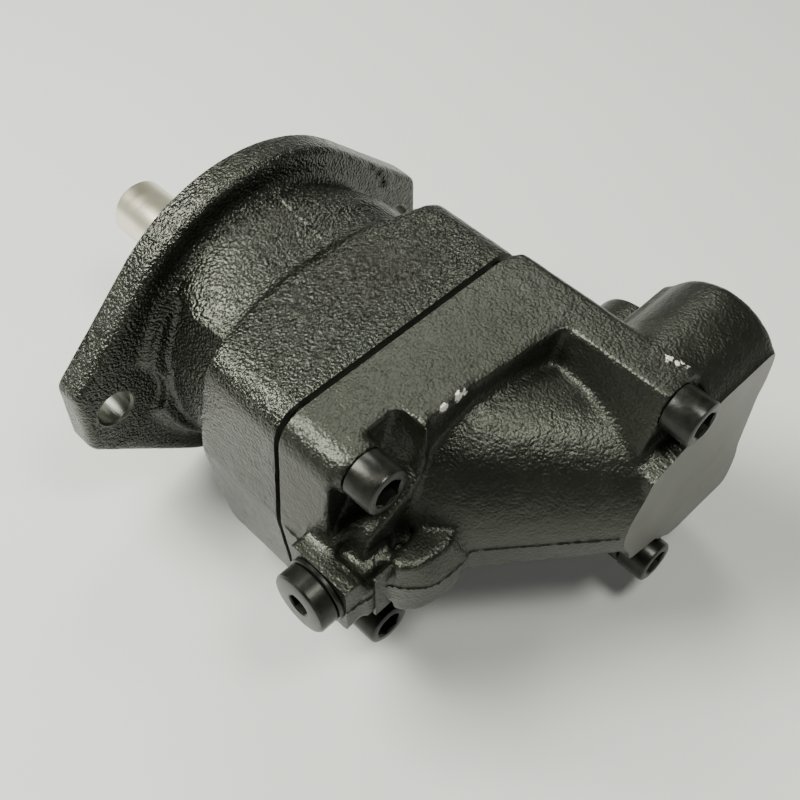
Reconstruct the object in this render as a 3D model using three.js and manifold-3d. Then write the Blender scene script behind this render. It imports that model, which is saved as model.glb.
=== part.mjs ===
// Bent-axis hydraulic pump with an SAE B two-bolt flange, in millimetres.
// Origin: centre of the flange's mounting face, on the drive shaft's axis.
// +X runs rearwards along the shaft, +Y is the side that the barrel bends to, +Z is up.
import * as THREE from 'three';
import { mergeVertices } from 'three/addons/utils/BufferGeometryUtils.js';
import Module from 'manifold-3d';

const wasm = await Module();
wasm.setup();

// ---- driving dimensions ----
const GAP = 0.3;
const TINY = 0.02;

const FLANGE = { thick: 12, radius: 71, earY: 87, earHalf: 18, earCorner: 5, holeY: 73, holeR: 7.15 };
const PILOT = { radius: 50.8, height: 9.7 };
const NECK = { radius: 55.5, end: 48, scallopR: 20, scallopEnd: 44 };
const BLOCK = { halfY: 58.9, halfZ: 53.2, corner: 12, start: 46, end: 91 };
const SPIGOT = { radius: 49, end: 93.2 };

const PLATE = { start: 93.5, end: 120 };
const STEP = { radius: 51.5, end: 127, flatFrom: -22, flatTo: 41 };
const WALL = { end: 173, topY: 41, footY: 30, footZ: 27 };
const REAR_X = 182;
const BULGE = { frontS: -8, frontR: 47, backS: 84, backR: 32 };
const TAIL = {
  start: 135, toY: 93,
  noseY: 22, cheekY: 28.7, cheekZ: 25,
  jawY: 46, jawZ: 30, sideY: 62, halfZ: 40,
};
const PORT = { x: 159.5, z: 28.5, bossR: 24.8, fromY: 48, face: 95, boreR: 12.2, floorY: 70, galleryR: 6.5 };
const DRAIN = { x: 122, half: 13, halfZ: 12.5, face: 69, boreR: 9.1, boreDepth: 15, wayR: 4 };
const DRAIN_PORT = { x: 125.5, bossR: 17.7, fromY: 50, face: 95, boreR: 9.3, floorY: 80, wayR: 4 };
const WEB = { x0: 124, x1: 147, halfZ: 12, y0: -50, y1: -15 };

const SCREW = { y: 46, z: 44.5, r: 6, headR: 9, headH: 12, hex: 10, hexDepth: 6, tip: 66 };
const SCREW_ROOM = 11;

const BEND = THREE.MathUtils.degToRad(40);
const BEND_X = 105;
const PISTONS = 5;
const BALL_PITCH = 18;
const BORE_PITCH = BALL_PITCH * (1 + Math.cos(BEND)) / 2;
const BALL = { r: 5.5, seatR: 6 };
const PISTON = { neckR: 3.1, length: 35, headR: 5.85, headHalf: 5 };
const RING = { half: 0.8, innerR: 4.6 };
const BARREL = {
  r: 26.5, front: 17, back: 58,
  boreR: 8.3, boreEnd: 53, slotR: 4.2,
  centreR: 5.6, centreEnd: 50,
};
const GEAR = { teeth: 24, rho0: 30, rho1: 35, tip: 1.6, root: 2, halfTooth: 1.7, flank: 0.364 };
const NEEDLE = { r: 1.5, count: 12, start: 37, end: 51 };
const VALVE = { start: 58.3, end: 64, r: 28.3 };
const CHAMBER = {
  r: 38, toX: 117.3, fromS: -12, toS: 22,
  cupR: 32, cupEnd: 52.3, backR: 28.7, backEnd: 64.3,
};

const SHAFT = { tip: -73, stubR: 12.7, stubEnd: -12, sealR: 14, flangeR: 24.5, flangeStart: 84, face: 0.6 };
const FRONT_BEARING = {
  start: 10, end: 30, seat: 15, cupR: 31,
  rollR: 2.5, pitch0: 22.4, pitch1: 24.6, count: 12,
};
const REAR_BEARING = {
  start: 60, end: 83.7, seat: 20, cupR: 40,
  rollR: 3.2, pitch0: 30, pitch1: 33, count: 12,
};
const KEY = { x0: -66, x1: -32, half: 3.1, sunk: 3.4, proud: 2.8 };

// ---- geometry helpers ----
function toSolid(geometry) {
  const bare = geometry.clone();
  bare.deleteAttribute('normal');
  bare.deleteAttribute('uv');
  const merged = mergeVertices(bare, 1e-4);
  const points = merged.attributes.position.array;
  const index = merged.index.array;
  const faces = [];
  for (let i = 0; i < index.length; i += 3) {
    const [a, b, c] = [index[i], index[i + 1], index[i + 2]];
    if (a !== b && b !== c && c !== a) faces.push(a, b, c);
  }
  if (volume(points, faces) < 0) faces.reverse();
  const mesh = new wasm.Mesh({
    numProp: 3,
    vertProperties: new Float32Array(points),
    triVerts: new Uint32Array(faces),
  });
  return new wasm.Manifold(mesh);
}

function volume(points, faces) {
  const corner = (k) => new THREE.Vector3().fromArray(points, 3 * k);
  let sum = 0;
  for (let i = 0; i < faces.length; i += 3) {
    sum += corner(faces[i]).dot(corner(faces[i + 1]).cross(corner(faces[i + 2])));
  }
  return sum;
}

function toGeometry(solid) {
  const mesh = solid.getMesh();
  const geometry = new THREE.BufferGeometry();
  geometry.setAttribute('position', new THREE.BufferAttribute(new Float32Array(mesh.vertProperties), 3));
  geometry.setIndex(new THREE.BufferAttribute(new Uint32Array(mesh.triVerts), 1));
  geometry.computeVertexNormals();
  return geometry;
}

const join = (solids) => solids.reduce((sum, next) => sum.add(next));
const cut = (solid, tools) => tools.reduce((left, tool) => left.subtract(tool), solid);

// Revolves (x, r) points about the X axis.
function turned(points, segments = 40) {
  const profile = points.map(([x, r]) => new THREE.Vector2(r, x));
  const geometry = new THREE.LatheGeometry([...profile, profile[0]], segments);
  return toSolid(geometry.rotateZ(-Math.PI / 2));
}

// A plain disc or tube along X.
function tube(x0, x1, outer, inner = 0, segments = 40) {
  return turned([[x0, inner], [x0, outer], [x1, outer], [x1, inner]], segments);
}

// Extrudes a (y, z) outline along X.
function prism(shape, x0, x1, curveSegments = 8) {
  const options = { depth: x1 - x0, bevelEnabled: false, curveSegments };
  const geometry = new THREE.ExtrudeGeometry(shape, options);
  const turn = new THREE.Matrix4().makeBasis(
    new THREE.Vector3(0, 1, 0),
    new THREE.Vector3(0, 0, 1),
    new THREE.Vector3(1, 0, 0),
  );
  return toSolid(geometry.applyMatrix4(turn).translate(x0, 0, 0));
}

function box(low, high) {
  const size = high.map((value, i) => value - low[i]);
  const middle = high.map((value, i) => (value + low[i]) / 2);
  return toSolid(new THREE.BoxGeometry(...size).translate(...middle));
}

// A round bar between two points.
function bar(from, to, radius, segments = 24) {
  const start = new THREE.Vector3(...from);
  const run = new THREE.Vector3(...to).sub(start);
  const geometry = new THREE.CylinderGeometry(radius, radius, run.length(), segments);
  geometry.translate(0, run.length() / 2, 0);
  geometry.applyQuaternion(new THREE.Quaternion().setFromUnitVectors(
    new THREE.Vector3(0, 1, 0),
    run.clone().normalize(),
  ));
  return toSolid(geometry.translate(start.x, start.y, start.z));
}

function ball(centre, radius, across = 16, along = 10) {
  return toSolid(new THREE.SphereGeometry(radius, across, along).translate(...centre));
}

function roundedRectangle(halfY, halfZ, corner) {
  const shape = new THREE.Shape();
  const spots = [[1, 1, 0], [-1, 1, 0.5], [-1, -1, 1], [1, -1, 1.5]];
  for (const [signY, signZ, turn] of spots) {
    const y = signY * (halfY - corner);
    const z = signZ * (halfZ - corner);
    shape.absarc(y, z, corner, turn * Math.PI, (turn + 0.5) * Math.PI, false);
  }
  return shape;
}

function hexagon(across, y, z) {
  const radius = across / Math.sqrt(3);
  const corners = Array.from({ length: 6 }, (_, i) => {
    const angle = (i * Math.PI) / 3;
    return new THREE.Vector2(y + radius * Math.cos(angle), z + radius * Math.sin(angle));
  });
  return new THREE.Shape(corners);
}

// Bend-plane point at distance s along the barrel's axis, y off it and z up.
function alongBarrel(s, y, z) {
  const x = BEND_X + s * Math.cos(BEND) - y * Math.sin(BEND);
  return [x, s * Math.sin(BEND) + y * Math.cos(BEND), z];
}

const moved = (solid, matrix) => toSolid(toGeometry(solid).applyMatrix4(matrix));

function inBarrelFrame(solid) {
  return moved(solid, new THREE.Matrix4().makeRotationZ(BEND).setPosition(BEND_X, 0, 0));
}

// ---- assembly bookkeeping ----
const pump = new THREE.Group();
const barrelAxis = new THREE.Group();
barrelAxis.position.x = BEND_X;
barrelAxis.rotation.z = BEND;
pump.add(barrelAxis);

const FINISHES = {
  casting: { color: 0x141512, roughness: 0.45, metalness: 0.1 },
  blackOxide: { color: 0x1b1b1c, roughness: 0.4, metalness: 0.6 },
  groundSteel: { color: 0xcfc9b8, roughness: 0.25, metalness: 1 },
  bearingSteel: { color: 0xb9bcc0, roughness: 0.2, metalness: 1 },
  bronze: { color: 0xb07a3c, roughness: 0.35, metalness: 0.9 },
  rubber: { color: 0x151515, roughness: 0.8, metalness: 0 },
};

function addPart(name, solid, finish, parent = pump) {
  const material = new THREE.MeshStandardMaterial(FINISHES[finish]);
  const mesh = new THREE.Mesh(toGeometry(solid), material);
  mesh.name = name;
  parent.add(mesh);
  return mesh;
}

// ---- bearing housing ----
function flangeOutline() {
  const { radius, earY, earHalf, earCorner } = FLANGE;
  const lean = Math.asin((radius - earCorner) / Math.hypot(earY - earCorner, earHalf - earCorner))
    + Math.atan2(earHalf - earCorner, earY - earCorner);
  const shape = new THREE.Shape();
  shape.absarc(earY - earCorner, earHalf - earCorner, earCorner, 0, lean, false);
  shape.absarc(0, 0, radius, lean, Math.PI - lean, false);
  shape.absarc(earCorner - earY, earHalf - earCorner, earCorner, Math.PI - lean, Math.PI, false);
  shape.absarc(earCorner - earY, earCorner - earHalf, earCorner, Math.PI, Math.PI + lean, false);
  shape.absarc(0, 0, radius, Math.PI + lean, 2 * Math.PI - lean, false);
  shape.absarc(earY - earCorner, earCorner - earHalf, earCorner, -lean, 0, false);
  return shape;
}

function bearingHousing() {
  const outside = join([
    prism(flangeOutline(), 0, FLANGE.thick, 6),
    tube(-PILOT.height, 1, PILOT.radius, 0, 36),
    tube(1, NECK.end, NECK.radius, 0, 40),
    prism(roundedRectangle(BLOCK.halfY, BLOCK.halfZ, BLOCK.corner), BLOCK.start, BLOCK.end, 2),
    tube(80, SPIGOT.end, SPIGOT.radius, 0, 32),
  ]);
  const ears = [-1, 1].flatMap((side) => {
    const y = side * FLANGE.holeY;
    return [
      bar([-1, y, 0], [FLANGE.thick + 1, y, 0], FLANGE.holeR),
      bar([FLANGE.thick, y, 0], [NECK.scallopEnd, y, 0], NECK.scallopR),
    ];
  });
  const bore = turned([
    [-20, 0], [-20, 22], [-0.5, 22], [-0.5, 24.5], [FRONT_BEARING.start + 2, 24.5],
    [FRONT_BEARING.start + 2, FRONT_BEARING.cupR + GAP], [36, FRONT_BEARING.cupR + GAP],
    [REAR_BEARING.start - 2, 32.5], [REAR_BEARING.start - 2, REAR_BEARING.cupR + GAP],
    [110, REAR_BEARING.cupR + GAP], [110, 0],
  ], 32);
  const threads = screwPlaces().map(([y, z]) => bar([SCREW.tip - 2, y, z], [110, y, z], SCREW.r + GAP, 16));
  const groove = tube(-9.1, -7.5, 23.3, 20, 32);
  return cut(outside, [...ears, bore, groove, sealGroove(), ...threads]);
}

function sealGroove() {
  return tube(SPIGOT.end - 2.4, SPIGOT.end + 1, 46.6, 43.2, 32);
}

// ---- barrel housing ----
function screwPlaces() {
  return [[-1, 1], [-1, -1], [1, 1], [1, -1]].map(([a, b]) => [a * SCREW.y, b * SCREW.z]);
}

function wallOutline() {
  const { topY, footY, footZ } = WALL;
  const edge = BLOCK.halfY;
  const top = BLOCK.halfZ - 0.2;
  const corners = [[topY, top], [edge - 4, top], [edge, top - 4], [edge, 4 - top], [edge - 4, -top],
    [topY, -top], [footY, -footZ], [footY, footZ]];
  return new THREE.Shape(corners.map(([y, z]) => new THREE.Vector2(y, z)));
}

function tailOutline() {
  const { noseY, cheekY, cheekZ, jawY, jawZ, sideY, halfZ, toY } = TAIL;
  const half = [[cheekY, cheekZ], [jawY, jawZ], [sideY, halfZ], [toY, halfZ]];
  const mirrored = half.map(([y, z]) => [y, -z]).reverse();
  return new THREE.Shape([[noseY, 0], ...half, ...mirrored].map(([y, z]) => new THREE.Vector2(y, z)));
}

function housingStep() {
  const { radius, end, flatFrom, flatTo } = STEP;
  const top = BLOCK.halfZ;
  return join([
    tube(PLATE.end - 4, end, radius, 0, 48),
    box([PLATE.end - 4, flatFrom, -top], [end, flatTo, top]),
  ]);
}

function bulge() {
  return inBarrelFrame(turned([
    [BULGE.frontS, 0], [BULGE.frontS, BULGE.frontR], [BULGE.backS, BULGE.backR], [BULGE.backS, 0],
  ], 48));
}

function portBosses() {
  return [-1, 1].map((side) => {
    const z = side * PORT.z;
    return bar([PORT.x, PORT.fromY, z], [PORT.x, PORT.face, z], PORT.bossR, 36);
  });
}

function drainBosses() {
  const { x, half, halfZ, face } = DRAIN;
  const port = DRAIN_PORT;
  return [
    box([x - half, -face, -halfZ], [x + half, -40, halfZ]),
    bar([port.x, port.fromY, 0], [port.x, port.face, 0], port.bossR, 32),
  ];
}

function portWays() {
  return [-1, 1].flatMap((side) => {
    const z = side * PORT.z;
    const kidney = alongBarrel(CHAMBER.backEnd - 1, 0, side * (BORE_PITCH + 1));
    return [
      bar([PORT.x, PORT.floorY, z], [PORT.x, PORT.face + 1, z], PORT.boreR, 24),
      bar(kidney, [PORT.x, PORT.floorY + 4, z], PORT.galleryR, 14),
    ];
  });
}

function drainWays() {
  const { x, face, boreR, boreDepth, wayR } = DRAIN;
  const port = DRAIN_PORT;
  return [
    bar([x, boreDepth - face, 0], [x, -face - 1, 0], boreR, 20),
    bar([x, -20, 0], [x, 1 - face, 0], wayR, 12),
    bar([port.x, port.floorY, 0], [port.x, port.face + 1, 0], port.boreR, 20),
    bar([port.x, 50, 0], [port.x, port.floorY + 1, 0], port.wayR, 12),
  ];
}

function chamber() {
  const barrelRoom = inBarrelFrame(turned([
    [CHAMBER.fromS, 0], [CHAMBER.fromS, CHAMBER.r], [CHAMBER.toS, CHAMBER.r],
    [CHAMBER.toS, CHAMBER.cupR], [CHAMBER.cupEnd, CHAMBER.cupR],
    [CHAMBER.cupEnd, CHAMBER.backR], [CHAMBER.backEnd, CHAMBER.backR], [CHAMBER.backEnd, 0],
  ], 40));
  return [tube(PLATE.start - 1, CHAMBER.toX, CHAMBER.r), barrelRoom];
}

// The short screws sit on the plate and the long ones at the end of the wall.
const screwSeat = (y) => (y < 0 ? PLATE.end : WALL.end);

function screwRoom([y, z]) {
  const seat = screwSeat(y);
  const end = REAR_X + 20;
  const shank = bar([PLATE.start - 1, y, z], [seat + 1, y, z], SCREW.r + GAP, 16);
  const pocket = bar([seat, y, z], [end, y, z], SCREW_ROOM, 20);
  const outer = Math.sign(z) * 60;
  const half = SCREW_ROOM - 1;
  const above = box([seat, y - half, Math.min(z, outer)], [end, y + half, Math.max(z, outer)]);
  const corner = box([seat, -70, Math.min(z - 9, outer)], [end, y, Math.max(z + 9, outer)]);
  return y < 0 ? [shank, pocket, above, corner] : [shank, pocket, above];
}

function barrelHousing() {
  const plate = prism(roundedRectangle(BLOCK.halfY, BLOCK.halfZ, BLOCK.corner), PLATE.start, PLATE.end, 2);
  const behindPlate = box([PLATE.start, -100, -60], [REAR_X, 100, 60]);
  const castings = [
    plate,
    housingStep(),
    prism(wallOutline(), PLATE.start + 2, WALL.end),
    prism(tailOutline(), TAIL.start, REAR_X),
    bulge(),
    box([WEB.x0, WEB.y0, -WEB.halfZ], [WEB.x1, WEB.y1, WEB.halfZ]),
    ...portBosses(),
    ...drainBosses(),
  ];
  const outside = join(castings).intersect(behindPlate);
  const rooms = screwPlaces().flatMap(screwRoom);
  return cut(outside, [...rooms, ...chamber(), ...portWays(), ...drainWays()]);
}

// ---- fasteners, plugs and seals on the outside ----
function socketScrew([y, z]) {
  const seat = screwSeat(y) + GAP;
  const shape = turned([
    [seat, 0], [seat, SCREW.headR], [seat + SCREW.headH - 1, SCREW.headR],
    [seat + SCREW.headH, SCREW.headR - 1], [seat + SCREW.headH, 0],
  ], 20);
  const head = moved(shape, new THREE.Matrix4().makeTranslation(0, y, z));
  const socket = prism(hexagon(SCREW.hex, y, z), seat + SCREW.headH - SCREW.hexDepth, seat + SCREW.headH + 1);
  const shank = bar([SCREW.tip, y, z], [seat + 1, y, z], SCREW.r, 16);
  return join([head, shank]).subtract(socket);
}

// Turns a piece built along X to stand on the drain boss, facing -Y.
function ontoDrainBoss(solid) {
  return moved(solid, new THREE.Matrix4().makeRotationZ(-Math.PI / 2).setPosition(DRAIN.x, 0, 0));
}

function drainPlug() {
  const seat = DRAIN.face + 2;
  const body = turned([
    [DRAIN.face - 12, 0], [DRAIN.face - 12, 8.5], [seat + GAP, 8.5], [seat + GAP, 12], [seat + 6.5, 12],
    [seat + 7.5, 11], [seat + 7.5, 0],
  ], 28);
  const socket = prism(hexagon(8, 0, 0), seat + 2.5, seat + 9);
  return ontoDrainBoss(body.subtract(socket));
}

function drainWasher() {
  return ontoDrainBoss(tube(DRAIN.face + GAP, DRAIN.face + 2, 12.8, 8.9, 28));
}

function addOutside() {
  addPart('bearing_housing', bearingHousing(), 'casting');
  addPart('barrel_housing', barrelHousing(), 'casting');
  addPart('housing_seal_ring', tube(SPIGOT.end - 2.1, SPIGOT.end + TINY, 46.3, 43.5, 32), 'rubber');
  screwPlaces().forEach((place, i) => {
    addPart(`housing_screw_${i + 1}`, socketScrew(place), 'blackOxide');
  });
  addPart('drain_plug', drainPlug(), 'blackOxide');
  addPart('drain_plug_washer', drainWasher(), 'blackOxide');
}

// ---- drive shaft and what it carries ----
function pistonAngles() {
  return Array.from({ length: PISTONS }, (_, i) => (i * 2 * Math.PI) / PISTONS);
}

function driveShaft() {
  const { tip, stubR, stubEnd, sealR, flangeR, flangeStart, face } = SHAFT;
  const body = turned([
    [tip, 0], [tip, stubR - 1.5], [tip + 1.5, stubR], [stubEnd, stubR], [stubEnd + 1.3, sealR], [2, sealR],
    [2, FRONT_BEARING.seat], [FRONT_BEARING.end, FRONT_BEARING.seat], [FRONT_BEARING.end, 16.5],
    [REAR_BEARING.start, 16.5], [REAR_BEARING.start, REAR_BEARING.seat], [flangeStart, REAR_BEARING.seat],
    [flangeStart, flangeR], [BEND_X + face, flangeR], [BEND_X + face, 0],
  ], 28);
  const seats = pistonAngles().map((angle) => {
    const centre = [BEND_X, BALL_PITCH * Math.cos(angle), BALL_PITCH * Math.sin(angle)];
    return ball(centre, BALL.seatR, 14, 8);
  });
  const pinSeat = ball([BEND_X, 0, 0], BALL.seatR - 0.5, 14, 8);
  const keyway = box([KEY.x0, -KEY.half, -20], [KEY.x1, KEY.half, KEY.sunk - SHAFT.stubR]);
  return cut(body, [...seats, pinSeat, keyway]);
}

function shaftKey() {
  const gap = 0.1;
  const low = [KEY.x0 + gap, gap - KEY.half, -SHAFT.stubR - KEY.proud];
  const high = [KEY.x1 - gap, KEY.half - gap, KEY.sunk - SHAFT.stubR - gap];
  return box(low, high);
}

// A point on the pitch cone at slant distance rho, n off the cone towards the mating gear.
function onPitchCone(rho, n) {
  const half = Math.PI / 2 - BEND / 2;
  const x = -rho * Math.cos(half) + n * Math.sin(half);
  return [x, rho * Math.sin(half) + n * Math.cos(half)];
}

// A bevel ring gear about X with its cone's apex at the origin and its teeth facing +X.
function bevelRing(innerR, depth, firstTooth) {
  const { teeth, rho0, rho1, tip, root, halfTooth, flank } = GEAR;
  const [x0, r0] = onPitchCone(rho0 - 0.5, -root);
  const [x1, r1] = onPitchCone(rho1, -root);
  const blank = turned([
    [-depth, innerR], [x0, innerR], [x0, Math.max(r0, innerR + 0.2)], [x1, r1], [-depth, r1],
  ], teeth);
  const low = -root - 0.5;
  const outline = new THREE.Shape([
    new THREE.Vector2(low, flank * low - halfTooth), new THREE.Vector2(tip, flank * tip - halfTooth),
    new THREE.Vector2(tip, halfTooth - flank * tip), new THREE.Vector2(low, halfTooth - flank * low),
  ]);
  const geometry = new THREE.ExtrudeGeometry(outline, { depth: rho1 - rho0, bevelEnabled: false });
  const [ax, ar] = onPitchCone(1, 0);
  const [nx, nr] = onPitchCone(0, 1);
  const basis = new THREE.Matrix4().makeBasis(
    new THREE.Vector3(nx, nr, 0),
    new THREE.Vector3(0, 0, -1),
    new THREE.Vector3(ax, ar, 0),
  );
  geometry.applyMatrix4(basis).translate(rho0 * ax, rho0 * ar, 0);
  const oneTooth = Array.from({ length: teeth }, (_, i) => {
    const angle = ((i + firstTooth) * 2 * Math.PI) / teeth;
    return toSolid(geometry.clone().rotateX(angle));
  });
  return join([blank, ...oneTooth]);
}

function ringGear() {
  return moved(bevelRing(SHAFT.flangeR + GAP, 21, 0), new THREE.Matrix4().makeTranslation(BEND_X, 0, 0));
}

// Cup, cone and caged rollers of a taper roller bearing whose large end faces +X.
function taperBearing({ start, end, seat, cupR, rollR, pitch0, pitch1, count }) {
  const a = start + 3;
  const b = end - 3;
  const clear = rollR + GAP;
  const cup = turned([
    [start + 2 + GAP, cupR], [start + 2 + GAP, pitch0 + clear], [b + 1, pitch1 + clear + 0.4], [b + 1, cupR],
  ], 24);
  const cone = turned([
    [start, seat + GAP], [start, pitch0 - clear - 0.3], [end, pitch1 - clear - 0.1], [end, seat + GAP],
  ], 24);
  const cage = turned([
    [a - 1.5, pitch0 - 0.9], [a - 1.5, pitch0 + 0.5], [b + 1.2, pitch1 + 0.5], [b + 1.2, pitch1 - 0.9],
  ], count);
  const rollers = Array.from({ length: count }, (_, i) => {
    const angle = ((i + 0.5) * 2 * Math.PI) / count;
    const [c, s] = [Math.cos(angle), Math.sin(angle)];
    return bar([a, pitch0 * c, pitch0 * s], [b, pitch1 * c, pitch1 * s], rollR, 6);
  });
  return { cup, cone, rollers: join([cage, ...rollers]) };
}

function addShaftLine() {
  addPart('drive_shaft', driveShaft(), 'groundSteel');
  addPart('shaft_key', shaftKey(), 'groundSteel');
  const seal = turned([
    [-7.2, 14.2], [-7.2, 21.7], [-0.8, 21.7], [-0.8, 19.5],
    [-5.6, 19.5], [-5.6, 16.5], [-2, 16.5], [-2, 14.2],
  ], 24);
  addPart('shaft_seal', seal, 'rubber');
  addPart('seal_circlip', tube(-9, -7.6, 23, 19.5, 24), 'blackOxide');
  const nutBore = bar([2, 0, 0], [11, 0, 0], FRONT_BEARING.seat + GAP, 24);
  addPart('bearing_lock_nut', tube(3, 9.5, 20, 0, 8).subtract(nutBore), 'bearingSteel');
  const spacer = tube(FRONT_BEARING.end + GAP, REAR_BEARING.start - GAP, 21, 16.8, 24);
  addPart('bearing_spacer', spacer, 'bearingSteel');
  for (const [name, sizes] of [['front', FRONT_BEARING], ['rear', REAR_BEARING]]) {
    const bearing = taperBearing(sizes);
    addPart(`${name}_bearing_cup`, bearing.cup, 'bearingSteel');
    addPart(`${name}_bearing_cone`, bearing.cone, 'bearingSteel');
    addPart(`${name}_bearing_rollers`, bearing.rollers, 'bearingSteel');
  }
  addPart('ring_gear', ringGear(), 'bearingSteel');
}

// ---- rotating group on the bent axis, built along X and turned by its group ----
function cylinderBarrel() {
  const { r, front, back, boreR, boreEnd, slotR, centreR, centreEnd } = BARREL;
  const bores = pistonAngles().flatMap((angle) => {
    const [y, z] = [BORE_PITCH * Math.cos(angle), BORE_PITCH * Math.sin(angle)];
    const bore = bar([front - 1, y, z], [boreEnd, y, z], boreR, 20);
    const slot = bar([boreEnd - 1, y, z], [back + 1, y, z], slotR, 10);
    return [bore, slot];
  });
  return cut(tube(front, back, r, 0, 40), [...bores, bar([front - 1, 0, 0], [centreEnd, 0, 0], centreR, 16)]);
}

function piston() {
  const { neckR, length, headR, headHalf } = PISTON;
  const points = [[-BALL.r, 0]];
  const steps = 6;
  const neckAngle = Math.asin(neckR / BALL.r);
  for (let i = 1; i <= steps; i += 1) {
    const angle = Math.PI - (i * (Math.PI - neckAngle)) / steps;
    points.push([BALL.r * Math.cos(angle), BALL.r * Math.sin(angle)]);
  }
  const groove = RING.half + GAP;
  const back = length + headHalf;
  points.push([length - 14, neckR], [length - headHalf, headR - 0.6], [length - groove, headR]);
  points.push([length - groove, RING.innerR - GAP], [length + groove, RING.innerR - GAP]);
  points.push([length + groove, headR], [back, headR - 0.7], [back, 0]);
  return turned(points, 14);
}

function addPistons() {
  pistonAngles().forEach((angle, i) => {
    const holder = new THREE.Group();
    holder.position.set(BEND_X, BALL_PITCH * Math.cos(angle), BALL_PITCH * Math.sin(angle));
    holder.rotation.z = BEND;
    pump.add(holder);
    addPart(`piston_${i + 1}`, piston(), 'groundSteel', holder);
    const { length, headR } = PISTON;
    const ring = tube(length - RING.half, length + RING.half, headR, RING.innerR, 14);
    addPart(`piston_ring_${i + 1}`, ring, 'bearingSteel', holder);
  });
}

function needleSet() {
  const pitch = BARREL.r + GAP + NEEDLE.r;
  const cage = tube(NEEDLE.start, NEEDLE.end, pitch + 0.5, pitch - 0.5, NEEDLE.count);
  const needles = Array.from({ length: NEEDLE.count }, (_, i) => {
    const angle = ((i + 0.5) * 2 * Math.PI) / NEEDLE.count;
    const [y, z] = [pitch * Math.cos(angle), pitch * Math.sin(angle)];
    return bar([NEEDLE.start + 1.5, y, z], [NEEDLE.end - 1.5, y, z], NEEDLE.r, 6);
  });
  return join([cage, ...needles]);
}

function kidney(side) {
  const shape = new THREE.Shape();
  const [inner, outer] = [BORE_PITCH - 4, BORE_PITCH + 4];
  const [from, to] = [Math.PI * 0.1, Math.PI * 0.9];
  shape.absarc(0, 0, outer, side * from, side * to, side < 0);
  shape.absarc(0, 0, inner, side * to, side * from, side > 0);
  return prism(shape, VALVE.start - 1, VALVE.end + 1, 10);
}

function valvePlate() {
  const dowel = bar([VALVE.end - 3, 24.5, 0], [VALVE.end + 1, 24.5, 0], 2.3, 10);
  return cut(tube(VALVE.start, VALVE.end, VALVE.r, 0, 40), [kidney(1), kidney(-1), dowel]);
}

class Coil extends THREE.Curve {
  constructor(x0, x1, radius, turns) {
    super();
    Object.assign(this, { x0, x1, radius, turns });
  }

  getPoint(t) {
    const angle = t * this.turns * 2 * Math.PI;
    const x = this.x0 + (this.x1 - this.x0) * t;
    return new THREE.Vector3(x, this.radius * Math.cos(angle), this.radius * Math.sin(angle));
  }
}

function barrelSpring() {
  const wire = 0.7;
  const turns = 4;
  const path = new Coil(26.5, BARREL.centreEnd - 1.2, 4.2, turns);
  const section = new THREE.Shape().absarc(0, 0, wire, 0, 2 * Math.PI, false);
  const options = { steps: turns * 10, extrudePath: path, bevelEnabled: false, curveSegments: 3 };
  return toSolid(new THREE.ExtrudeGeometry(section, options));
}

function centrePin() {
  const r = BALL.r - 0.5;
  const neck = 2.9;
  const neckAngle = Math.asin(neck / r);
  const points = [[-r, 0]];
  const steps = 6;
  for (let i = 1; i <= steps; i += 1) {
    const angle = Math.PI - (i * (Math.PI - neckAngle)) / steps;
    points.push([r * Math.cos(angle), r * Math.sin(angle)]);
  }
  points.push([21, neck], [21, BARREL.centreR - GAP], [25.5, BARREL.centreR - GAP], [25.5, 0]);
  return turned(points, 16);
}

function addBarrelLine() {
  addPart('cylinder_barrel', cylinderBarrel(), 'bearingSteel', barrelAxis);
  const gear = moved(bevelRing(BARREL.r + GAP, 21, 0.5), new THREE.Matrix4().makeScale(-1, 1, 1));
  addPart('timing_gear', gear, 'bearingSteel', barrelAxis);
  const cupInner = BARREL.r + 2 * GAP + 2 * NEEDLE.r;
  const cup = tube(NEEDLE.start - 1, NEEDLE.end + 1, CHAMBER.cupR - GAP, cupInner, 32);
  addPart('barrel_needle_cup', cup, 'bearingSteel', barrelAxis);
  addPart('barrel_needles', needleSet(), 'bearingSteel', barrelAxis);
  addPart('valve_plate', valvePlate(), 'bronze', barrelAxis);
  addPart('centre_pin', centrePin(), 'groundSteel', barrelAxis);
  addPart('barrel_spring', barrelSpring(), 'bearingSteel', barrelAxis);
}

addOutside();
addShaftLine();
addPistons();
addBarrelLine();

export default pump;
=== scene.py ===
import math
import random

import bmesh
import bpy
from mathutils import Matrix, Vector


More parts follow.
